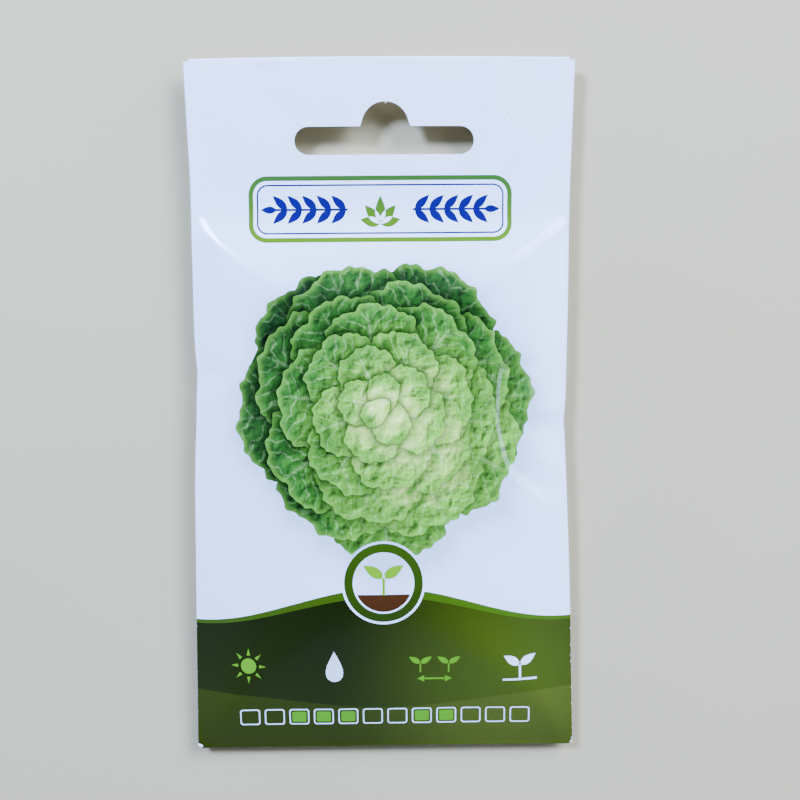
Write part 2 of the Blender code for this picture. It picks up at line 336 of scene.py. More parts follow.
def painted_board():
    """Floor: a board in matt beige wall paint, which the cool light turns to an even grey."""
    material, tree, shader = new_material("painted_board")
    place = add_node(tree, "TexCoord").outputs["Object"]
    mottle = add_node(tree, "TexNoise", None, {"Vector": place, "Scale": 9.0})
    colour = add_node(tree, "ValToRGB", None, {"Fac": mottle})
    set_ramp(colour, [(0.3, "#B8A376"), (0.7, "#BEA97D")])
    set_inputs(tree, shader, {"Base Color": colour, "Roughness": 0.8})
    return material


def sheet_position(tree):
    """The place on the flat printed sheet, in millimetres."""
    uv = add_node(tree, "UVMap", {"uv_map": "sheet"})
    return add_node(tree, "VectorMath", SCALE, {0: uv, "Scale": SHEET_SPAN})


def print_numbers(tree):
    """The three numbers printed into the sheet: shade, a leaf's edge, and its heart or the wear."""
    data = add_node(tree, "Attribute", {"attribute_name": "print"})
    parts = add_node(tree, "SeparateColor", None, {"Color": data})
    return [parts.outputs[name] for name in ("Red", "Green", "Blue")]


def finish_as_varnished(tree, shader, position, colour):
    """Gloss of a clear varnish over coated paper: smooth, with the fibres barely felt.

    The shine is all the varnish's own, since the paper and ink that it wets no longer meet the
    air. The fibres' relief is drawn at 0.5 mm, coarser than real, so that it shows.
    """
    fibre = add_node(tree, "TexNoise", None, {"Vector": position, "Scale": 2.0, "Detail": 3.0})
    relief = add_node(tree, "Bump", None, {"Height": fibre, "Strength": 0.12, "Distance": 0.00002})
    set_inputs(tree, shader, {
        "Base Color": colour, "Normal": relief, "Roughness": 0.34, "Specular IOR Level": 0.0,
        "Coat Weight": 1.0, "Coat Roughness": 0.135, "Coat IOR": 1.5})


def varnished_paper():
    """Bare white of clay-coated paper under varnish, with the print's soft grey shadows."""
    material, tree, shader = new_material("varnished_paper")
    position = sheet_position(tree)
    mottle = add_node(tree, "TexNoise", None, {"Vector": position, "Scale": 0.08, "Detail": 3.0})
    white = add_node(tree, "ValToRGB", None, {"Fac": mottle})
    set_ramp(white, [(0.35, "#DEE8F8"), (0.65, "#E3ECFB")])
    shade, _, _ = print_numbers(tree)
    depth = add_node(tree, "Math", MULTIPLY, {0: shade, 1: WHITE_SHADE})
    shaded = add_node(tree, "Mix", MIX_DARKER, {"Factor": depth, UNDER: white, OVER: linear("#8E9A94")})
    finish_as_varnished(tree, shader, position, shaded)
    return material


def printed_ink(name, low, high, bottom=-65.0, top=65.0, wear=0.0, painted_sheen=None):
    """Offset ink under varnish, shaded up the sheet from one colour to another.

    A painted sheen, of the varnish catching light, is a lighter colour laid round one place of the
    sheet. Ink lies a little unevenly, and where the paper is folded or rubbed it cracks to white.
    """
    material, tree, shader = new_material(name)
    position = sheet_position(tree)
    axes = add_node(tree, "SeparateXYZ", None, {"Vector": position})
    up = add_node(tree, "MapRange", None, {
        "Value": axes.outputs["Y"], "From Min": bottom - SHEET_BOTTOM, "From Max": top - SHEET_BOTTOM})
    colour = add_node(tree, "ValToRGB", None, {"Fac": up})
    set_ramp(colour, [(0.0, low), (1.0, high)])
    # Painted sheen: lighter ink round one place, standing in for the varnish's shine there
    if painted_sheen:
        middle = (SHEEN_CENTRE[0] - SHEET_LEFT, SHEEN_CENTRE[1] - SHEET_BOTTOM, 0.0)
        gap = add_node(tree, "VectorMath", {"operation": "DISTANCE"}, {0: position, 1: middle})
        sheen_amount = add_node(tree, "MapRange", SMOOTH, {
            "Value": gap, "From Min": SHEEN_REACH, "From Max": 0.0})
        colour = add_node(tree, "Mix", MIX, {"Factor": sheen_amount, UNDER: colour, OVER: linear(painted_sheen)})
    mottle = add_node(tree, "TexNoise", None, {"Vector": position, "Scale": 0.9, "Detail": 4.0})
    uneven = add_node(tree, "MapRange", None, {"Value": mottle, "To Min": 0.92, "To Max": 1.08})
    colour = add_node(tree, "VectorMath", SCALE, {0: colour, "Scale": uneven})
    if wear > 0.0:
        _, _, worn = print_numbers(tree)
        chips = add_node(tree, "TexNoise", None, {"Vector": position, "Scale": 1.6, "Detail": 5.0})
        cracked = add_node(tree, "Math", MULTIPLY, {0: worn, 1: chips})
        mask = add_node(tree, "MapRange", None, {
            "Value": cracked, "From Min": PAPER_SHOWS_FROM, "From Max": PAPER_SHOWS_TO, "To Max": wear})
        colour = add_node(tree, "Mix", MIX, {"Factor": mask, UNDER: colour, OVER: linear("#E9EAE6")})
    finish_as_varnished(tree, shader, position, colour)
    return material


def leaf_print():
    """Printed picture of soft green leaves: pale ribs and hearts, blistered darker blades.

    The blades turn paler towards one side of the picture: partly the picture's own light, partly painted
    sheen of the varnish on that side, which also thins the printed shadows there.
    """
    material, tree, shader = new_material("leaf_print")
    position = sheet_position(tree)
    shade, edge, heart = print_numbers(tree)
    leaf_uv = add_node(tree, "UVMap", {"uv_map": "leaf"})
    axes = add_node(tree, "SeparateXYZ", None, {"Vector": leaf_uv})
    along = axes.outputs["X"]
    centred = add_node(tree, "Math", SUBTRACT, {0: axes.outputs["Y"], 1: 0.5})
    across = add_node(tree, "Math", {"operation": "ABSOLUTE"}, {0: centred})

    drift = add_node(tree, "TexNoise", None, {"Vector": position, "Scale": 0.16, "Detail": 4.0})
    drifted = add_node(tree, "MapRange", None, {
        "Value": drift, "To Min": -BLADE_DRIFT, "To Max": BLADE_DRIFT})
    reach = add_node(tree, "Math", ADD, {0: along, 1: drifted})
    # Painted sheen: the blades grow paler towards one side, partly the picture's own light, partly the
    # varnish's shine
    sideways = add_node(tree, "VectorMath", {"operation": "DOT_PRODUCT"}, {0: position, 1: PALE_SHEEN_SIDE})
    pale = add_node(tree, "MapRange", SMOOTH, {
        "Value": sideways, "From Min": PALE_SHEEN_FROM, "From Max": PALE_SHEEN_TO})
    opened = add_node(tree, "Math", MULTIPLY_ADD, {0: heart, 1: -HEART_PALENESS, 2: reach})
    ripeness = add_node(tree, "Math", MULTIPLY_ADD, {0: pale, 1: -PALE_SHEEN_STRENGTH, 2: opened})
    blade = add_node(tree, "ValToRGB", None, {"Fac": ripeness})
    set_ramp(blade, [(0.0, "#D0E86A"), (0.30, "#70A833"), (0.60, "#386E21"), (0.90, "#1F4717")])

    rib_width = add_node(tree, "Math", MULTIPLY_ADD, {0: along, 1: RIB_TAPER, 2: across})
    rib = add_node(tree, "MapRange", SMOOTH, {
        "Value": rib_width, "From Min": RIB_OUTSIDE, "From Max": RIB_INSIDE, "To Max": RIB_STRENGTH})
    vein_run = add_node(tree, "Math", MULTIPLY_ADD, {0: across, 1: -VEIN_SLANT, 2: reach})
    vein_steps = add_node(tree, "Math", MULTIPLY_ADD, {0: along, 1: VEINS, 2: vein_run})
    wander = add_node(tree, "TexNoise", None, {"Vector": position, "Scale": 0.3, "Detail": 2.0})
    vein_place = add_node(tree, "Math", MULTIPLY_ADD, {0: wander, 1: VEIN_WANDER, 2: vein_steps})
    vein_wave = add_node(tree, "Math", {"operation": "PINGPONG"}, {0: vein_place, 1: 0.5})
    vein = add_node(tree, "MapRange", SMOOTH, {
        "Value": vein_wave, "From Min": VEIN_OUTSIDE, "From Max": VEIN_INSIDE})
    vein_fade = add_node(tree, "MapRange", None, {
        "Value": along, "From Min": 0.15, "From Max": 0.9, "To Min": 0.5, "To Max": 0.12})
    vein_mask = add_node(tree, "Math", MULTIPLY, {0: vein, 1: vein_fade})
    pale_lines = add_node(tree, "Math", {"operation": "MAXIMUM"}, {0: vein_mask, 1: rib})
    ribbed = add_node(tree, "Mix", MIX, {"Factor": pale_lines, UNDER: blade, OVER: linear("#DAEE94")})

    lit_side = add_node(tree, "VectorMath", ADD, {0: position, 1: BLISTER_LIGHT})
    height = blister_height(tree, position)
    height_lit = blister_height(tree, lit_side)
    slope = add_node(tree, "Math", SUBTRACT, {0: height, 1: height_lit})
    grey = add_node(tree, "MapRange", None, {
        "Value": slope, "From Min": -BLISTER_SLOPE, "From Max": BLISTER_SLOPE,
        "To Min": 0.05, "To Max": 0.95})
    embossed = add_node(tree, "Mix", MIX_CONTRAST, {"Factor": BLISTER_STRENGTH, UNDER: ribbed, OVER: grey})

    rim = add_node(tree, "MapRange", SMOOTH, {"Value": edge, "To Min": 0.5, "To Max": 0.0})
    rimmed = add_node(tree, "Mix", MIX, {"Factor": rim, UNDER: embossed, OVER: linear("#76AC38")})
    # The painted sheen also thins the leaves' printed shadows on that side
    shade_under_sheen = add_node(tree, "MapRange", None, {"Value": pale, "To Min": 1.0, "To Max": PALE_SHEEN_SHADE})
    shading = add_node(tree, "Math", MULTIPLY, {0: shade, 1: shade_under_sheen})
    shaded = add_node(tree, "Mix", MIX_DARKER, {"Factor": shading, UNDER: rimmed, OVER: linear("#0B3A1C")})
    finish_as_varnished(tree, shader, position, shaded)
    return material


def blister_height(tree, position):
    """Relief of a leaf between its veins: soft blisters about 2 mm across, and finer crumpling."""
    cells = add_node(tree, "TexVoronoi", {"feature": "SMOOTH_F1"}, {
        "Vector": position, "Scale": 0.5, "Smoothness": 0.7, "Randomness": 1.0})
    crumple = add_node(tree, "TexNoise", None, {
        "Vector": position, "Scale": 0.55, "Detail": 6.0, "Roughness": 0.66, "Distortion": 0.6})
    rounded = add_node(tree, "Math", MULTIPLY, {0: cells.outputs["Distance"], 1: -0.5})
    return add_node(tree, "Math", ADD, {0: rounded, 1: crumple})


def bare_paper(name, colour):
    """Uncoated side or cut edge of the paper: matt white with a faint fibre mottle."""
    material, tree, shader = new_material(name)
    place = add_node(tree, "TexCoord").outputs["Object"]
    fibre = add_node(tree, "TexNoise", None, {"Vector": place, "Scale": 1800.0, "Detail": 4.0})
    tone = add_node(tree, "MapRange", None, {"Value": fibre, "To Min": 0.92, "To Max": 1.05})
    tinted = add_node(tree, "VectorMath", SCALE, {0: linear(colour)[:3], "Scale": tone})
    set_inputs(tree, shader, {"Base Color": tinted, "Roughness": 0.85})
    return material


def seed_coating():
    """Clay and wood-flour coating, tumbled round each seed: matt, dusty and lightly pitted."""
    material, tree, shader = new_material("seed_coating")
    place = add_node(tree, "TexCoord").outputs["Object"]
    grain = add_node(tree, "TexNoise", None, {"Vector": place, "Scale": 2500.0, "Detail": 4.0})
    colour = add_node(tree, "ValToRGB", None, {"Fac": grain})
    set_ramp(colour, [(0.3, "#A9773F"), (0.7, "#C79B64")])
    pitted = add_node(tree, "Bump", None, {"Height": grain, "Strength": 0.5, "Distance": 0.00005})
    set_inputs(tree, shader, {"Base Color": colour, "Normal": pitted, "Roughness": 0.8})
    return material


# Folding the sheet


def ease(t):
    """Smooth step from 0 to 1."""
    t = np.clip(t, 0.0, 1.0)
    return t * t * (3.0 - 2.0 * t)


def across_front(u):
    """1 on the centre line, 0 where the front panel meets a side fold."""
    edge = np.where(u > 0.0, FRONT_RIGHT, -FRONT_LEFT)
    return np.maximum(1.0 - (u / edge) ** 2, 0.0)


def fold_plane(u, y):
    """Height of the plane where front and back meet, bowed up in the header."""
    height = FOLD_HEIGHT - FOLD_DROP * ease((FOLD_DROP_FROM - y) / (HALF_HEIGHT + FOLD_DROP_FROM))
    in_header = ease((y - HEADER_FROM) / (HALF_HEIGHT - HEADER_FROM))
    return height + in_header * (HEADER_RISE + HEADER_BOW * across_front(u))


def tent(t):
    """A ridge with flat sides: 1 at 0, falling to 0 near 1 either way, with a soft crest."""
    return np.maximum(1.0 + CREST - np.sqrt(t * t + CREST * CREST), 0.0)


def pinch(y):
    """How deep the dent beside the right fold's kink is at this height."""
    return tent((y - PINCH_Y) / np.where(y > PINCH_Y, PINCH_ABOVE, PINCH_BELOW))


def pull_factor(side, y):
    """How much narrower the sheet's outline is on the side that the sign of side gives."""
    right = np.interp(y, *zip(*RIGHT_PULL))
    left = np.interp(y, *zip(*LEFT_PULL))
    return 1.0 - np.where(side > 0.0, right, left) / HALF_WIDTH


def drawn_in(u, y):
    """Place across the packet of a point of the sheet, once the side folds are drawn in."""
    return u * pull_factor(u, y)


def soft_start(t, width):
    """Zero before the start and t after it, with a soft bend between them."""
    return (t + np.sqrt(t * t + width * width)) / 2.0


def soft_minimum(a, b, rounding):
    """The lower of two heights, with the ridge where they meet rounded over."""
    overlap = np.maximum(rounding - np.abs(a - b), 0.0) / rounding
    return np.minimum(a, b) - overlap * overlap * rounding / 4.0


def bulge(u, y):
    """Height of the front panel over its fold plane, with ridges where its slopes meet."""
    sides = BULGE * across_front(u)
    header_end = HEADER_SLOPE * soft_start(BULGE_END - y, BULGE_START_WIDTH)
    bottom_end = BOTTOM_SLOPE * np.maximum(y + PANEL_END, 0.0)
    rounding = RIDGE_ROUNDING + (RIDGE_ROUNDING_MIDDLE - RIDGE_ROUNDING) * across_front(u)
    by_fold = np.exp(-((HALF_WIDTH - np.abs(u)) / RIDGE_FOLD_REACH) ** 2)
    rounding = rounding + (RIDGE_ROUNDING_FOLD - RIDGE_ROUNDING) * by_fold
    height = soft_minimum(soft_minimum(sides, header_end, rounding), bottom_end, rounding)
    dent = PINCH_DEPTH * pinch(y) * ease(1.0 - (HALF_WIDTH - u) / PINCH_REACH)
    return np.maximum(height, 0.0) * (1.0 - dent)


# Buckle beside the right fold: corners of the line along which the paper steps down into it
BUCKLE_CORNERS = (
    (27.2, 7.5), (24.6, 9.4), (22.8, 8.7), (21.9, 6.2), (21.7, 2.2), (21.8, -2.0), (22.4, -5.6),
    (23.1, -8.9), (24.3, -11.2), (26.6, -13.0), (29.1, -14.9), (31.8, -17.9),
)
BUCKLE_ENDS = (((27.2, 7.5), (40.0, 12.0)), ((31.8, -17.9), (40.0, -25.0)))
BUCKLE_SLOPE = 0.14
BUCKLE_STEP = 1.25
BUCKLE_WIDE_PLACE = (28.0, -13.7)
BUCKLE_WIDE_REACH = 4.5
BUCKLE_WIDER = 0.9
BUCKLE_REACH = 6.0
BUCKLE_FADE = 4.5

# Ridges and dents of the front panel: points along each, its height, and its half width
CREASES = (
    (((33.2, -4.0), (31.0, -7.2), (28.2, -10.8)), 0.24, 4.0),
    (((-33.6, 7.6), (-30.0, 5.8), (-27.0, 5.2)), -0.16, 3.0),
    (((-33.0, 61.7), (-24.0, 61.9), (-12.0, 62.3)), 0.06, 0.5),
)
CREASE_END_REACH = 2.0

# Slow waves of the paper: height, turns along u and y in radians a mm, and where they start
WAVES = ((0.060, 0.21, 0.09, 0.6), (0.045, 0.13, -0.23, 2.1), (0.030, 0.37, 0.31, 4.0))


def without_corners(line):
    """A line of straight runs with its corners cut twice, so that it curves; its ends stay."""
    for _ in range(2):
        cut = [line[0]]
        for (x0, y0), (x1, y1) in zip(line, line[1:]):
            cut.append((0.75 * x0 + 0.25 * x1, 0.75 * y0 + 0.25 * y1))
            cut.append((0.25 * x0 + 0.75 * x1, 0.25 * y0 + 0.75 * y1))
        line = tuple(cut) + (line[-1],)
    return line


BUCKLE_RIM = without_corners(BUCKLE_CORNERS)


def distance_to_line(u, y, line):
    """Distance from each point to a line of straight runs, and how far along it that is."""
    nearest = np.full(u.shape, 1e9)
    along = np.zeros(u.shape)
    runs = len(line) - 1
    for index in range(runs):
        (x0, y0), (x1, y1) = line[index], line[index + 1]
        length_squared = (x1 - x0) ** 2 + (y1 - y0) ** 2
        t = np.clip(((u - x0) * (x1 - x0) + (y - y0) * (y1 - y0)) / length_squared, 0.0, 1.0)
        gap = np.hypot(u - x0 - t * (x1 - x0), y - y0 - t * (y1 - y0))
        closer = gap < nearest
        along = np.where(closer, (index + t) / runs, along)
        nearest = np.where(closer, gap, nearest)
    return nearest, along


def buckle_relief(u, y):
    """The step down along the buckle's rim, which evens out towards the side fold."""
    gap, _ = distance_to_line(u, y, BUCKLE_RIM)
    buckle = BUCKLE_RIM + (BUCKLE_ENDS[1][1], BUCKLE_ENDS[0][1])
    inside_rim = inside([buckle], np.stack([u.ravel(), y.ravel()], axis=1)).reshape(u.shape)
    depth = np.where(inside_rim, gap, -gap)
    from_wide = np.hypot(u - BUCKLE_WIDE_PLACE[0], y - BUCKLE_WIDE_PLACE[1])
    width = BUCKLE_STEP + BUCKLE_WIDER * np.exp(-(from_wide / BUCKLE_WIDE_REACH) ** 2)
    step = width * BUCKLE_SLOPE * ease(depth / width + 0.5)
    for line in BUCKLE_ENDS:
        step = step * ease(distance_to_line(u, y, line)[0] / BUCKLE_FADE)
    return -step * np.exp(-np.maximum(depth, 0.0) / BUCKLE_REACH)


def crease_relief(u, y):
    """Small ridges and dents that handling has left in the front panel, none at its folds."""
    relief = buckle_relief(u, y)
    for line, height, half_width in CREASES:
        gap, along = distance_to_line(u, y, line)
        fade = ease(4.0 * along + 0.2) * ease(3.0 * (1.0 - along))
        relief = relief + height * tent(gap / half_width) * fade
    to_fold = np.minimum(FRONT_RIGHT - u, u - FRONT_LEFT)
    return relief * ease(to_fold / CREASE_END_REACH)


def slow_waves(u, y):
    """Waviness of paper that has taken up damp: low, long and uneven."""
    return sum(height * np.sin(a * u + b * y + start) for height, a, b, start in WAVES)


def front_height(u, y):
    raised = bulge(u, y)
    loose = np.minimum(raised / LOOSE_HEIGHT, 1.0)
    return fold_plane(u, y) + FRONT_LEVEL + raised + loose * slow_waves(u, y) + crease_relief(u, y)


def back_height(u, y):
    """Height of the back panel: flat on the surface below, rising to its folds."""
    edge = np.where(u > 0.0, FRONT_RIGHT, -FRONT_LEFT)
    side = np.clip((np.abs(u) - REST_HALF_WIDTH) / (edge - REST_HALF_WIDTH), 0.0, 1.0)
    header = ease((y - REST_TOP) / REST_TO_HEADER)
    bottom = np.clip((REST_BOTTOM - y) / REST_TO_BOTTOM_FOLD, 0.0, 1.0)
    rise = (1.0 - header) * (1.0 - side ** BACK_CURVE) * (1.0 - bottom ** BACK_CURVE)
    lowest = PAPER / 2
    return lowest + (fold_plane(u, y) + BACK_LEVEL - lowest) * (1.0 - rise)


def fold_sheet(u, v):
    """Fold points of the flat sheet, and give their places in the packet."""
    u = np.asarray(u, dtype=float)
    v = np.asarray(v, dtype=float)
    on_front = np.clip(u, FRONT_LEFT, FRONT_RIGHT)
    x = drawn_in(on_front, v)
    y = v.copy()
    z = front_height(on_front, v)

    right = (u > FRONT_RIGHT) & (u < GLUE_START)
    angle = (u - FRONT_RIGHT) / RIGHT_RADIUS
    edge = np.full(u.shape, FRONT_RIGHT)
    x = np.where(right, drawn_in(edge, v) + RIGHT_RADIUS * np.sin(angle), x)
    z = np.where(right, fold_plane(edge, v) + RIGHT_RADIUS * np.cos(angle), z)

    tucked = u >= GLUE_START
    place = FRONT_RIGHT - (u - GLUE_START)
    x = np.where(tucked, drawn_in(place, v), x)
    z = np.where(tucked, back_height(place, v) + PITCH, z)

    left = (u < FRONT_LEFT) & (u > BACK_START)
    angle = (FRONT_LEFT - u) / LEFT_RADIUS
    edge = np.full(u.shape, FRONT_LEFT)
    x = np.where(left, drawn_in(edge, v) - LEFT_RADIUS * np.sin(angle), x)
    z = np.where(left, fold_plane(edge, v) + BACK_LEVEL + LEFT_RADIUS * (1.0 + np.cos(angle)), z)

    behind = u <= BACK_START
    place = FRONT_LEFT + (BACK_START - u)
    x = np.where(behind, drawn_in(place, v), x)
    z = np.where(behind, back_height(place, v), z)

    end = np.sign(v)
    past_root = np.abs(v) - END_ROOT
    half_root = np.where(v > 0.0, TOP_FLAP_HALF_ROOT, BOTTOM_FLAP_HALF_ROOT)
    rolled = (past_root > 0.0) & (np.abs(u) < half_root + 0.05)
    angle = np.clip(past_root / END_RADIUS, 0.0, math.pi)
    root = end * END_ROOT
    past_fold = np.maximum(past_root - math.pi * END_RADIUS, 0.0)
    flap_y = end * (END_ROOT - past_fold)
    folding = rolled & (past_fold <= 0.0)
    folded = rolled & (past_fold > 0.0)
    level = END_FLAP_LEVEL + END_RADIUS * (1.0 + np.cos(angle))
    x = np.where(folding, drawn_in(u, root), x)
    y = np.where(folding, root + end * END_RADIUS * np.sin(angle), y)
    z = np.where(folding, fold_plane(u, root) + level, z)
    x = np.where(folded, drawn_in(u, flap_y), x)
    y = np.where(folded, flap_y, y)
    z = np.where(folded, back_height(u, flap_y) - PITCH, z)
    return np.stack([x, y, z], axis=-1)


def sheet_normals(u, v):
    """Direction that the printed side faces at each point of the folded sheet."""
    step = 0.02
    along_u = fold_sheet(u + step, v) - fold_sheet(u - step, v)
    along_v = fold_sheet(u, v + step) - fold_sheet(u, v - step)
    normal = np.cross(along_u, along_v)
    return normal / np.linalg.norm(normal, axis=-1, keepdims=True)


# Outlines on the flat sheet


def spaced(start, stop, cells):
    return [start + (stop - start) * i / cells for i in range(cells + 1)]


def arc(centre, radius, start, stop, cells):
    x, y = centre
    return [(x + radius * math.cos(a), y + radius * math.sin(a)) for a in spaced(start, stop, cells)]


def disc(centre, radius, cells=48):
    return arc(centre, radius, 0.0, math.tau, cells)[:-1]


def ring(centre, outer, inner):
    return [disc(centre, outer), disc(centre, inner)]


def rounded_box(centre, width, height, radius, cells=8):
    loop = []
    corners = ((1, 1, 0.0), (-1, 1, 0.5), (-1, -1, 1.0), (1, -1, 1.5))
    for sign_x, sign_y, turn in corners:
        x = centre[0] + sign_x * (width / 2 - radius)
        y = centre[1] + sign_y * (height / 2 - radius)
        loop += arc((x, y), radius, turn * math.pi, (turn + 0.5) * math.pi, cells)
    return loop


def box_line(centre, width, height, radius, line):
    """A rounded rectangle drawn as a line, given its outer size."""
    outer = rounded_box(centre, width, height, radius)
    return [outer, rounded_box(centre, width - 2 * line, height - 2 * line, radius - line)]


def resample(loop, spacing, closed=True):
    """Split the runs of a loop so that none is longer than spacing."""
    ends = loop[1:] + loop[:1] if closed else loop[1:]
    points = []
    for (x0, y0), (x1, y1) in zip(loop, ends):
        cells = max(1, math.ceil(math.hypot(x1 - x0, y1 - y0) / spacing))
        points += [(x0 + (x1 - x0) * i / cells, y0 + (y1 - y0) * i / cells) for i in range(cells)]
    if not closed:
        points.append(loop[-1])
    return points


def glue_flap_end(v):
    inset = GLUE_FLAP_CHAMFER * (1.0 - float(ease((PANEL_END - abs(v)) / GLUE_FLAP_WIDTH)))
    return GLUE_START + GLUE_FLAP_WIDTH - inset


def end_flap(end, half_root, flap_height):
    """Outline of the top flap, where end is 1, or the bottom flap, where it is -1."""
    tip = half_root * (1.0 - END_FLAP_TAPER)
    rise = [(half_root, PANEL_END), (half_root, FLAP_START), (tip, FLAP_START + flap_height)]
    return [(end * u, end * v) for u, v in rise] + [(-end * u, end * v) for u, v in reversed(rise)]


def sheet_outline():
    """Outline of the die-cut sheet, anticlockwise from the back panel's lower free corner."""
    bottom, top = [end_flap(*flap) for flap in END_FLAPS]
    glued = [(glue_flap_end(v), v) for v in spaced(-PANEL_END, PANEL_END, 40)]
    return [(BACK_END, -PANEL_END)] + bottom + glued + top + [(BACK_END, PANEL_END)]


def slot_outline():
    """The hang slot as punched, with the two tiny nicks that the punch left."""
    radius = SLOT_HEIGHT / 2
    straight = SLOT_LENGTH / 2 - radius
    centre_x, centre_y = SLOT_CENTRE
    bump_x = centre_x + SLOT_BUMP_SHIFT
    bump = (bump_x, centre_y + radius + SLOT_BUMP_RISE - SLOT_BUMP_RADIUS)
    loop = arc((centre_x + straight, centre_y), radius, -math.pi / 2, math.pi / 2, 14)
    loop.append((bump_x + SLOT_BUMP_BASE / 2, centre_y + radius))
    loop += arc(bump, SLOT_BUMP_RADIUS, SLOT_BUMP_TURN, BUMP_NICK_START, 10)
    loop.append((bump_x, bump[1] + SLOT_BUMP_RADIUS - SLOT_NICK))
    loop += arc(bump, SLOT_BUMP_RADIUS, BUMP_NICK_END, math.pi - SLOT_BUMP_TURN, 10)
    loop.append((bump_x - SLOT_BUMP_BASE / 2, centre_y + radius))
    loop += arc((centre_x - straight, centre_y), radius, math.pi / 2, 3 * math.pi / 2, 14)
    nick_x = centre_x + LOWER_NICK_PLACE
    foot = centre_y - radius
    half_width = LOWER_NICK_WIDTH / 2
    loop += [(nick_x - half_width, foot), (nick_x, foot + LOWER_NICK), (nick_x + half_width, foot)]
    return loop


def punched_slots():
    """The slot as it lies on the flat sheet, in the front, the back and the top flap.

    The back and the flap slipped a little up when the packet was pressed shut.
    """
    x, y = np.array(slot_outline()).T
    place = x / pull_factor(x, y)
    slipped = y + BACK_SLOT_SHIFT
    back = BACK_START - (place - FRONT_LEFT)
    slots = ((place, y), (back, slipped), (place, FLAP_START + END_ROOT - slipped))
    return [list(zip(u.tolist(), v.tolist())) for u, v in slots]


# Print: places and sizes on the sheet

PRINT_LEFT = -108.0
PRINT_RIGHT = 50.0
PRINT_BOTTOM = -82.0
HILL_HEIGHT = -36.0
HILL_RISE = 3.0
STRIPE_WIDTH = 1.15
STRIPE_SWELL = 0.45
FIELD_HEIGHT = -53.2
FIELD_RISE = 1.6
BADGE_CENTRE = (0.0, -30.5)
BADGE_RADIUS = 7.6
NAME_FRAME = (0.0, 36.2)
SPRIG_TURNS = (-78, -40, 0, 40, 78)
GARLAND_PAIRS = 5
GARLAND_START = 6.4
GARLAND_STEP = 2.7
GARLAND_LEAF = (3.7, 1.45)
ICON_HEIGHT = -46.4
SUN_PLACE = -25.0
DROP_PLACE = -9.2
SPACING_PLACE = 9.2
SEEDLING_PLACE = 25.0
CALENDAR_HEIGHT = -56.6
MONTH_STEP = 4.55
SOWN_MONTHS = (2, 3, 4, 7, 8)
DUST_SPECKS = ((18.6, 53.6), (23.2, 53.1), (24.6, 45.9))
DUST_RADIUS = 0.13
WORN_CORNERS = (
    ((-34.85, -62.4), 0.42), ((-34.4, -62.5), 0.3), ((34.9, -62.45), 0.26), ((34.95, -61.8), 0.14),
)
NOTE_LINES = 6
NOTE_TOP = 24.5
NOTE_STEP = 5.4
NOTE_WIDTH = 48.0
GROUND = -15.2
SOIL_DEPTH = 4.8

# The rosette of leaves: waves and sizes of their ruffles, and the turn from leaf to leaf
ROSETTE_CENTRE = (0.0, 1.0)
ROSETTE_RADIUS = 28.6
ROSETTE_LEAVES = 34
ROSETTE_DRAW = 5
RUFFLES = ((7, 0.035), (13, 0.028), (23, 0.020), (37, 0.012))
LEAF_TURN = math.radians(137.5)


def hill(base, rise, shift=0.0):
    """Everything under a row of low hills that repeats on each panel."""
    places = spaced(PRINT_LEFT, PRINT_RIGHT, 180)
    line = [(u, base + rise * math.cos(math.tau * (u - shift) / (2 * HALF_WIDTH))) for u in places]
    return [(PRINT_RIGHT, PRINT_BOTTOM), (PRINT_LEFT, PRINT_BOTTOM)] + line


def turned(base, x, y, turn):
    """The place of a point that lies x along and y beside an axis turned about its base."""
    c, s = math.cos(turn), math.sin(turn)
    return (base[0] + (x * c - y * s), base[1] + (x * s + y * c))


def drop(centre, height):
    """A water drop, point up."""
    points = []
    for a in spaced(0.0, math.tau, 36)[:-1]:
        x = 0.36 * height * math.sin(a) * math.sin(a / 2) ** 1.4
        points.append((centre[0] + x, centre[1] + 0.5 * height * math.cos(a)))
    return points


def leaf_shape(base, angle, length, width, cells=16):
    """A plain pointed leaf that grows from its base at an angle from upright, in degrees."""
    points = []
    for side in (1, -1):
        for t in spaced(0.0, 1.0, cells)[:-1]:
            along = t if side > 0 else 1.0 - t
            across = side * width / 2 * math.sin(math.pi * along ** 0.8)
            points.append(turned(base, along * length, across, math.radians(90.0 - angle)))
    return points


def bar(centre, width, height):
    x, y = centre
    return [(x - width / 2, y - height / 2), (x + width / 2, y - height / 2),
            (x + width / 2, y + height / 2), (x - width / 2, y + height / 2)]


def sun_icon(centre):
    ray = ((2.0, -0.32), (3.3, 0.0), (2.0, 0.32))
    loops = [disc(centre, 1.45, 28)]
    for index in range(8):
        loops.append([turned(centre, x, y, index * math.pi / 4) for x, y in ray])
    return loops


def sprout_icon(foot, size):
    """A seedling with two leaves on a stem."""
    x, y = foot
    stem = bar((x, y + 0.26 * size), 0.07 * size, 0.52 * size)
    return [stem] + [leaf_shape((x, y + 0.45 * size), turn, 0.62 * size, 0.27 * size) for turn in (58, -58)]


def spacing_icon(centre):
    """Two seedlings and the distance between them."""
    x, y = centre
    loops = sprout_icon((x - 2.6, y - 1.3), 4.0) + sprout_icon((x + 2.6, y - 1.3), 4.0)
    loops.append(bar((x, y - 2.6), 3.6, 0.36))
    loops.append([(x - 3.2, y - 2.6), (x - 1.9, y - 3.25), (x - 1.9, y - 1.95)])
    loops.append([(x + 3.2, y - 2.6), (x + 1.9, y - 1.95), (x + 1.9, y - 3.25)])
    return loops


def calendar():
    """Twelve month boxes, and a filling for those that are for sowing."""
    centres = [((month - 5.5) * MONTH_STEP, CALENDAR_HEIGHT) for month in range(12)]
    boxes = []
    for centre in centres:
        boxes += [rounded_box(centre, 3.7, 3.2, 0.5, 3), rounded_box(centre, 3.2, 2.7, 0.35, 3)]
    sown = [rounded_box(centres[month], 2.6, 2.1, 0.25, 3) for month in SOWN_MONTHS]
    return [("white_ink", boxes), ("light_green_ink", sown)]


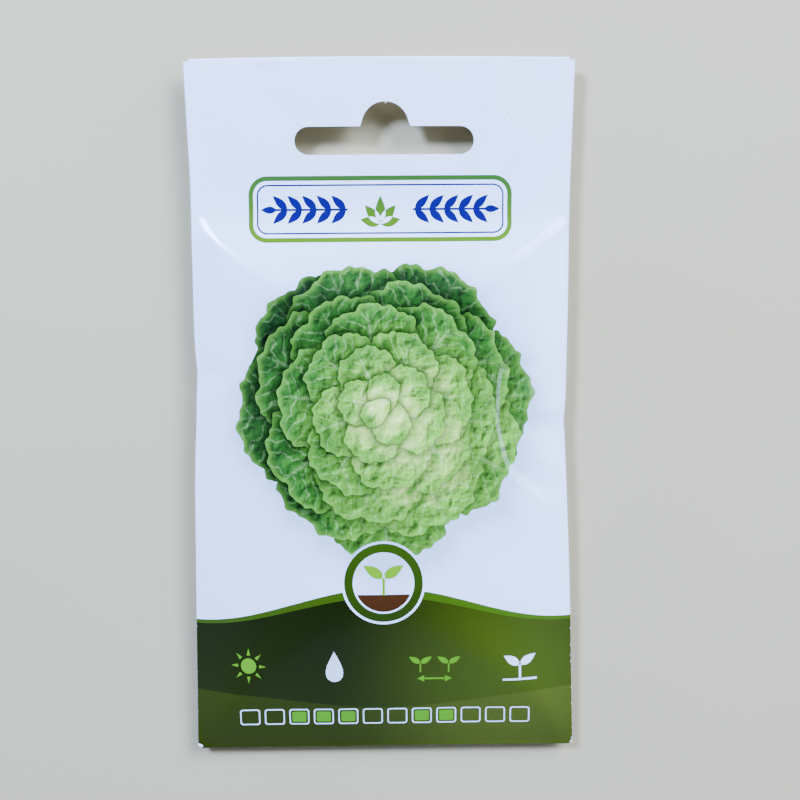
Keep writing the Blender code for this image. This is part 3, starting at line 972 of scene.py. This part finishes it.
def front_regions():
    """Flat print of the front and what runs round to the back: ink and loops, lowest first."""
    frame_x, frame_y = NAME_FRAME
    sprig = [leaf_shape((frame_x, frame_y - 2.6), turn, 5.1 - abs(turn) / 60, 1.9) for turn in SPRIG_TURNS]
    stems = []
    leaves = []
    for side in (-1, 1):
        stems.append(bar((frame_x + side * 12.8, frame_y), 13.6, 0.4))
        for pair in range(GARLAND_PAIRS):
            foot = (frame_x + side * (GARLAND_START + GARLAND_STEP * pair), frame_y)
            leaves += [leaf_shape(foot, side * turn, *GARLAND_LEAF) for turn in (46, 134)]
        leaves.append(leaf_shape((frame_x + side * 19.2, frame_y), side * 90, 2.9, 1.3))
    badge_x, badge_y = BADGE_CENTRE
    seedling = sprout_icon((SEEDLING_PLACE, ICON_HEIGHT - 2.9), 5.8)
    seedling.append(bar((SEEDLING_PLACE, ICON_HEIGHT - 3.05), 6.4, 0.4))
    regions = [
        ("stripe_ink", [hill(HILL_HEIGHT + STRIPE_WIDTH, HILL_RISE + STRIPE_SWELL)]),
        ("band_ink", [hill(HILL_HEIGHT, HILL_RISE)]),
        ("field_ink", [hill(FIELD_HEIGHT, FIELD_RISE, HALF_WIDTH)]),
        ("frame_ink", box_line(NAME_FRAME, 48.6, 12.0, 3.4, 0.85)),
        ("navy_ink", box_line(NAME_FRAME, 45.6, 9.0, 2.0, 0.3)),
        ("frame_ink", sprig),
        ("navy_ink", stems),
        ("navy_ink", leaves),
        ("varnished_paper", [disc(BADGE_CENTRE, BADGE_RADIUS, 72)]),
        ("badge_ink", ring(BADGE_CENTRE, BADGE_RADIUS - 0.45, BADGE_RADIUS - 2.0)),
        ("soil_ink", [arc(BADGE_CENTRE, BADGE_RADIUS - 2.35, math.pi * 1.13, math.pi * 1.87, 24)]),
        ("light_green_ink", sprout_icon((badge_x, badge_y - 2.2), 7.0)),
        ("light_green_ink", sun_icon((SUN_PLACE, ICON_HEIGHT))),
        ("white_ink", [drop((DROP_PLACE, ICON_HEIGHT), 6.2)]),
        ("light_green_ink", spacing_icon((SPACING_PLACE, ICON_HEIGHT))),
        ("white_ink", seedling),
    ]
    regions += calendar()
    regions.append(("grey_ink", [disc(place, DUST_RADIUS, 8) for place in DUST_SPECKS]))
    return regions + [("varnished_paper", [disc(place, radius, 7)]) for place, radius in WORN_CORNERS]


def back_regions():
    """Print of the back panel: a ruled panel for notes, and a sowing-depth strip."""
    middle = BACK_MIDDLE
    lines = [bar((middle, NOTE_TOP - NOTE_STEP * row), NOTE_WIDTH, 0.22) for row in range(NOTE_LINES)]
    growth = []
    for index, size in enumerate((2.4, 4.2, 6.2)):
        growth += sprout_icon((middle - 5.0 + 10.0 * index, GROUND), size)
    return [
        ("frame_ink", box_line((middle, 4.0), 56.0, 52.0, 3.0, 0.4)),
        ("grey_ink", lines),
        ("soil_ink", [bar((middle, GROUND - SOIL_DEPTH / 2), NOTE_WIDTH, SOIL_DEPTH)]),
        ("white_ink", [disc((middle + side, GROUND - 2.2), 0.6, 14) for side in (-18.0, -6.0)]),
        ("frame_ink", growth),
    ]


class RosetteLeaf:
    """One leaf of the printed rosette, with its own coordinates along and across."""

    def __init__(self, order, draw):
        inward = order / ROSETTE_LEAVES
        tip = ROSETTE_RADIUS * (1.0 - inward ** 1.25) ** 0.8 + 2.5 * inward
        tip *= draw.uniform(0.95, 1.0)
        self.heart = inward
        self.length = tip * (0.88 + 0.55 * inward ** 3)
        self.half_width = tip * (0.47 + 0.10 * inward)
        self.turn = order * LEAF_TURN + draw.uniform(-0.12, 0.12)
        self.base = turned(ROSETTE_CENTRE, tip - self.length, 0.0, self.turn)
        self.ruffles = [(waves, size, draw.uniform(0.0, math.tau)) for waves, size in RUFFLES]
        self.loop = [self.edge_point(a) for a in spaced(0.0, math.tau, 128)[:-1]]

    def edge_point(self, a):
        along = 0.5 - 0.5 * math.cos(a)
        ruffle = sum(size * math.sin(waves * a + phase) for waves, size, phase in self.ruffles)
        grow = 1.0 + ruffle * along ** 0.7
        across = math.sin(a) * (0.55 + 0.45 * along) * 1.12
        x = (0.5 + (along - 0.5) * grow) * self.length
        return turned(self.base, x, across * grow * self.half_width, self.turn)

    def own_coordinates(self, points):
        c, s = math.cos(self.turn), math.sin(self.turn)
        dx, dy = points[:, 0] - self.base[0], points[:, 1] - self.base[1]
        along = (dx * c + dy * s) / self.length
        across = (dy * c - dx * s) / self.half_width
        return np.stack([along, 0.5 + 0.5 * across], axis=1)


def inside(loops, points):
    """Which points lie inside a shape, by how many of its edges a ray crosses."""
    result = np.zeros(len(points), dtype=bool)
    for loop in loops:
        corners = np.array(loop)
        low, high = corners.min(axis=0), corners.max(axis=0)
        near = np.where(((points >= low) & (points <= high)).all(axis=1))[0]
        if not len(near):
            continue
        x, y = points[near, 0][:, None], points[near, 1][:, None]
        x0, y0 = corners[:, 0], corners[:, 1]
        x1, y1 = np.roll(x0, -1), np.roll(y0, -1)
        rise = np.where(y1 == y0, 1e-12, y1 - y0)
        crossed = ((y0 > y) != (y1 > y)) & (x < (x1 - x0) * (y - y0) / rise + x0)
        result[near] ^= crossed.sum(axis=1) % 2 == 1
    return result


# Spacing of the points on the flat sheet, in millimetres
LINE_SPACING = 1.2
FINE_SPACING = 0.8
PICTURE_GRID = 0.75
FRONT_GRID = 1.0
BACK_GRID = 1.8
GLUE_FLAP_GRID = 2.0
PICTURE_MARGIN = 3.0
# Points that are nearer to each other than this are taken as one
CUT_TOLERANCE = 1e-5
# Shares of a grid's spacing: from row to row, and how far it keeps from a drawn line
ROW_SHARE = 0.87
CLEAR_SHARE = 0.45


def point_tree(points):
    tree = KDTree(len(points))
    for index, (x, y) in enumerate(points):
        tree.insert((x, y, 0.0), index)
    tree.balance()
    return tree


def nearest_gap(points, targets):
    """Distance from each point to the nearest of the target points."""
    tree = point_tree(targets)
    return np.array([tree.find((x, y, 0.0))[2] for x, y in points.tolist()])


class Drawing:
    """Points and fixed lines of the flat sheet, ready to be cut into triangles."""

    def __init__(self):
        self.points = []
        self.lines = []

    def add_line(self, points, closed=True, keep=None):
        start = len(self.points)
        self.points += points
        count = len(points)
        for index in range(count if closed else count - 1):
            if keep is None or keep[index]:
                self.lines.append((start + index, start + (index + 1) % count))

    def add_fold(self, start, stop):
        self.add_line(resample([start, stop], LINE_SPACING, False), False)

    def add_grid(self, low, high, spacing):
        """Fill a rectangle with points that keep clear of the lines drawn so far."""
        tree = point_tree(self.points)
        columns = max(1, round((high[0] - low[0]) / spacing))
        rows = max(1, round((high[1] - low[1]) / (spacing * ROW_SHARE)))
        for row in range(rows + 1):
            y = low[1] + (high[1] - low[1]) * row / rows
            for column in range(columns + 1):
                x = low[0] + (high[0] - low[0]) * (column + (row % 2) / 2) / columns
                if x <= high[0] and tree.find((x, y, 0.0))[2] > CLEAR_SHARE * spacing:
                    self.points.append((x, y))

    def cut(self):
        points = [Vector(point) for point in self.points]
        made = delaunay_2d_cdt(points, self.lines, [], 0, CUT_TOLERANCE)
        places = np.array([tuple(point) for point in made[0]])
        return places, np.array(made[2])


def draw_folds(drawing):
    """Lines of points round each fold, so that the paper rolls over and doesn't break."""
    for angle in spaced(0.0, math.pi, 4):
        for u in (FRONT_RIGHT + angle * RIGHT_RADIUS, FRONT_LEFT - angle * LEFT_RADIUS):
            drawing.add_fold((u, -PANEL_END), (u, PANEL_END))
        for end, root, _ in END_FLAPS:
            v = end * (END_ROOT + angle * END_RADIUS)
            drawing.add_fold((-root, v), (root, v))
    for end, root, _ in END_FLAPS:
        drawing.add_fold((-root, end * PANEL_END), (root, end * PANEL_END))


def draw_creases(drawing):
    """Lines of points along each crease and the buckle's rim, which a plain grid would blur."""
    lines = [(line, half_width) for line, _, half_width in CREASES]
    lines += [(BUCKLE_RIM, BUCKLE_STEP / 2), (BUCKLE_RIM, BUCKLE_STEP)]
    for line, half_width in lines:
        middle = np.array(resample(list(line), FINE_SPACING, False))
        heading = np.gradient(middle, axis=0)
        heading /= np.linalg.norm(heading, axis=1, keepdims=True)
        sideways = np.stack([-heading[:, 1], heading[:, 0]], axis=1)
        for offset in (-1.0, -0.5, 0.0, 0.5, 1.0):
            beside = middle + sideways * offset * half_width
            drawing.add_line([tuple(point) for point in beside.tolist()], False)


def draw_rosette(drawing, leaves):
    """Outline each leaf only where no leaf above hides it."""
    for order, leaf in enumerate(leaves):
        loop = resample(leaf.loop, FINE_SPACING)
        points = np.array(loop)
        middles = (points + np.roll(points, -1, axis=0)) / 2
        hidden = np.zeros(len(points), dtype=bool)
        for above in leaves[order + 1:]:
            hidden |= inside([above.loop], middles)
        drawing.add_line(loop, True, ~hidden)


def cut_sheet(leaves, regions, slots):
    drawing = Drawing()
    drawing.add_line(resample(sheet_outline(), LINE_SPACING))
    draw_folds(drawing)
    for slot in slots:
        drawing.add_line(resample(slot, FINE_SPACING))
    for _, loops in regions:
        for loop in loops:
            drawing.add_line(resample(loop, LINE_SPACING))
    draw_rosette(drawing, leaves)
    draw_creases(drawing)
    reach = ROSETTE_RADIUS + PICTURE_MARGIN
    x, y = ROSETTE_CENTRE
    drawing.add_grid((x - reach, y - reach), (x + reach, y + reach), PICTURE_GRID)
    drawing.add_grid((FRONT_LEFT, -END_ROOT), (FRONT_RIGHT, END_ROOT), FRONT_GRID)
    drawing.add_grid((BACK_END, -PANEL_END), (BACK_START, PANEL_END), BACK_GRID)
    glue_edge = GLUE_START + GLUE_FLAP_WIDTH
    drawing.add_grid((GLUE_START, -PANEL_END), (glue_edge, PANEL_END), GLUE_FLAP_GRID)
    for end, _, flap_height in reversed(END_FLAPS):
        low, high = sorted((end * FLAP_START, end * (FLAP_START + flap_height)))
        drawing.add_grid((-HALF_WIDTH, low), (HALF_WIDTH, high), BACK_GRID)
    places, triangles = drawing.cut()
    centres = places[triangles].mean(axis=1)
    kept = inside([sheet_outline()], centres) & ~inside(slots, centres)
    return places, triangles[kept]


def assign_print(places, triangles, leaves, regions):
    """Which ink and which leaf each triangle of the sheet shows."""
    centres = places[triangles].mean(axis=1)
    inks = np.array(["varnished_paper"] * len(triangles), dtype=object)
    leaf_of = np.full(len(triangles), -1)
    for order, leaf in enumerate(leaves):
        leaf_of[inside([leaf.loop], centres)] = order
    inks[leaf_of >= 0] = "leaf_print"
    for name, loops in regions:
        covered = inside(loops, centres)
        inks[covered] = name
        leaf_of[covered] = -1
    return inks, leaf_of


# Printed shadows and wear, in millimetres of the sheet
RIM_WIDTH = 1.3
RIM_SPACING = 0.4
SHADOW_SPACING = 0.5
LEAF_SHADOW = 0.95
LEAF_SHADOW_REACH = 0.5
LEAF_SHADOW_LONGER = 2.2
OUTER_LEAVES = 12
PICTURE_SHADOW = (0.8, -1.6)
PICTURE_SHADOW_REACH = 2.6
PICTURE_SHADOW_MARGIN = 12.0
WEAR_REACH = 0.45


def edge_points(leaves):
    return [point for leaf in leaves for point in resample(leaf.loop, SHADOW_SPACING)]


def print_data(places, triangles, inks, leaf_of, leaves):
    """Shade, edge and wear of each triangle corner, and its place on its own leaf."""
    corners = places[triangles].reshape(-1, 2)
    data = np.zeros((len(corners), 4))
    data[:, 3] = 1.0
    leaf_uv = np.zeros((len(corners), 2))
    corner_leaf = np.repeat(leaf_of, 3)
    for order, leaf in enumerate(leaves):
        own = np.where(corner_leaf == order)[0]
        if not len(own):
            continue
        points = corners[own]
        leaf_uv[own] = leaf.own_coordinates(points)
        to_rim = nearest_gap(points, resample(leaf.loop, RIM_SPACING))
        data[own, 1] = np.clip(to_rim / RIM_WIDTH, 0.0, 1.0)
        data[own, 2] = leaf.heart
        above = edge_points(leaves[order + 1:])
        if above:
            reach = LEAF_SHADOW_REACH + LEAF_SHADOW_LONGER * (1.0 - leaf.heart)
            data[own, 0] = LEAF_SHADOW * np.exp(-(nearest_gap(points, above) / reach) ** 1.2)
    corner_ink = np.repeat(inks, 3)
    ground = np.where(corner_ink == "varnished_paper")[0]
    from_middle = np.hypot(corners[ground, 0], corners[ground, 1])
    ground = ground[from_middle < ROSETTE_RADIUS + PICTURE_SHADOW_MARGIN]
    outer = leaves[:OUTER_LEAVES]
    cast = corners[ground] - np.array(PICTURE_SHADOW)
    covered = np.zeros(len(cast), dtype=bool)
    for leaf in outer:
        covered |= inside([leaf.loop], cast)
    gap = np.where(covered, 0.0, nearest_gap(cast, edge_points(outer)))
    data[ground, 0] = np.exp(-(gap / PICTURE_SHADOW_REACH) ** 1.3)
    rubbed = np.where((corner_ink != "leaf_print") & (corner_ink != "varnished_paper"))[0]
    side = np.abs(np.abs(corners[rubbed, 0]) - HALF_WIDTH)
    foot = np.abs(corners[rubbed, 1] + HALF_HEIGHT)
    data[rubbed, 2] = np.exp(-np.minimum(side, foot) / WEAR_REACH)
    return data, leaf_uv


def rim_edges(triangles):
    """Edges with a triangle on one side only, in the direction that their triangle has them."""
    directed = np.concatenate([triangles[:, [0, 1]], triangles[:, [1, 2]], triangles[:, [2, 0]]])
    known = set(map(tuple, directed.tolist()))
    return np.array([edge for edge in directed.tolist() if (edge[1], edge[0]) not in known])


def make_envelope(materials):
    """Cut, print and fold the sheet, and give the paper its thickness."""
    draw = random.Random(ROSETTE_DRAW)
    leaves = [RosetteLeaf(order, draw) for order in range(ROSETTE_LEAVES)]
    regions = front_regions() + back_regions()
    places, triangles = cut_sheet(leaves, regions, punched_slots())
    inks, leaf_of = assign_print(places, triangles, leaves, regions)
    data, leaf_uv = print_data(places, triangles, inks, leaf_of, leaves)
    used, compact = np.unique(triangles, return_inverse=True)
    places = places[used]
    triangles = compact.reshape(-1, 3)
    middle = fold_sheet(places[:, 0], places[:, 1])
    normals = sheet_normals(places[:, 0], places[:, 1])
    outer = middle + normals * PAPER / 2
    inner = middle - normals * PAPER / 2
    count = len(places)
    rim = rim_edges(triangles)
    rim_faces = np.stack([rim[:, 1], rim[:, 0], rim[:, 0] + count, rim[:, 1] + count], axis=1)
    faces = triangles.tolist() + (triangles[:, ::-1] + count).tolist() + rim_faces.tolist()

    mesh = bpy.data.meshes.new("printed_envelope")
    mesh.from_pydata((np.concatenate([outer, inner]) * MM).tolist(), [], faces)
    slots = list(materials)
    for name in slots:
        mesh.materials.append(materials[name])
    indices = [slots.index(name) for name in inks]
    indices += [slots.index("paper_inside")] * len(triangles)
    indices += [slots.index("paper_edge")] * len(rim)
    mesh.polygons.foreach_set("material_index", indices)
    mesh.polygons.foreach_set("use_smooth", [True] * (2 * len(triangles)) + [False] * len(rim))

    corner_vertex = np.empty(len(mesh.loops), dtype=np.int32)
    mesh.loops.foreach_get("vertex_index", corner_vertex)
    sheet_uv = (places[corner_vertex % count] - np.array([SHEET_LEFT, SHEET_BOTTOM])) / SHEET_SPAN
    mesh.uv_layers.new(name="sheet").data.foreach_set("uv", sheet_uv.ravel())
    full_leaf_uv = np.zeros((len(mesh.loops), 2))
    full_leaf_uv[:len(leaf_uv)] = leaf_uv
    mesh.uv_layers.new(name="leaf").data.foreach_set("uv", full_leaf_uv.ravel())
    full_data = np.zeros((len(mesh.loops), 4))
    full_data[:len(data)] = data
    mesh.color_attributes.new("print", "FLOAT_COLOR", "CORNER").data.foreach_set("color", full_data.ravel())
    mesh.normals_split_custom_set_from_vertices(np.concatenate([normals, -normals]).tolist())
    mesh.validate()
    envelope = bpy.data.objects.new("printed_envelope", mesh)
    bpy.context.scene.collection.objects.link(envelope)
    return envelope


# Coated seeds

SEED_RADIUS = 1.6
SEED_SPACING = 2.95
SEED_JITTER = 0.08
SEED_HEAP_CENTRE = (1.0, -14.0)
SEED_HEAP_RADIUS = 10.0
SEED_UPPER_RADIUS = 4.0
SEED_LAYER_STEP = 2.35
SEED_CLEARANCE = 0.3
SEED_DRAW = 7


def heap_places():
    """The same places as in the model: a close-packed patch with a few more in its hollows."""
    draw = random.Random(SEED_DRAW)
    ground = PAPER + SEED_CLEARANCE + SEED_RADIUS + SEED_JITTER
    row_step = SEED_SPACING * math.sqrt(3) / 2
    reach = math.ceil(SEED_HEAP_RADIUS / row_step)
    layers = ((SEED_HEAP_RADIUS, 0.0, 0.0), (SEED_UPPER_RADIUS, row_step * 2 / 3, SEED_LAYER_STEP))
    places = []
    for limit, shift, lift in layers:
        for row in range(-reach, reach + 1):
            for column in range(-reach, reach + 1):
                x = (column + (row % 2) / 2) * SEED_SPACING
                y = row * row_step + shift
                if math.hypot(x, y) > limit:
                    continue
                nudge = Vector([draw.uniform(-SEED_JITTER, SEED_JITTER) for _ in range(3)])
                place = (SEED_HEAP_CENTRE[0] + x, SEED_HEAP_CENTRE[1] + y, ground + lift)
                places.append(Vector(place) + nudge)
    return places


def make_seeds(material):
    """Each seed is a tumbled ball, no two quite as round, set down in its place."""
    draw = random.Random(SEED_DRAW + 2)
    made = []
    for place in heap_places():
        bpy.ops.mesh.primitive_ico_sphere_add(subdivisions=4, radius=SEED_RADIUS * MM, location=place * MM)
        seed = bpy.context.object
        seed.rotation_euler = [draw.uniform(0.0, math.tau) for _ in range(3)]
        seed.scale = (1.0, draw.uniform(0.96, 1.0), draw.uniform(0.93, 1.0))
        bpy.ops.object.transform_apply(location=True, rotation=True, scale=True)
        bpy.ops.object.shade_smooth()
        made.append(seed)
    bpy.ops.object.select_all(action="DESELECT")
    for seed in made:
        seed.select_set(True)
    bpy.context.view_layer.objects.active = made[0]
    bpy.ops.object.join()
    seeds = bpy.context.object
    seeds.name = "tumbled_seeds"
    seeds.data.materials.append(material)
    bpy.context.scene.cursor.location = (0.0, 0.0, 0.0)
    bpy.ops.object.origin_set(type="ORIGIN_CURSOR")
    return seeds


def main():
    bpy.ops.object.select_all(action="DESELECT")
    add_camera()
    add_stage()
    add_daylight()
    materials = {"varnished_paper": varnished_paper(), "leaf_print": leaf_print()}
    for name, ink in INKS.items():
        materials[name] = printed_ink(name, *ink)
    materials["paper_inside"] = bare_paper("paper_inside", "#E6E4DC")
    materials["paper_edge"] = bare_paper("paper_edge", "#F1F0EC")
    envelope = make_envelope(materials)
    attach(envelope, "root")
    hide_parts("paper_envelope")
    seeds = make_seeds(seed_coating())
    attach(seeds, "root")
    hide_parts("coated_seeds")


main()
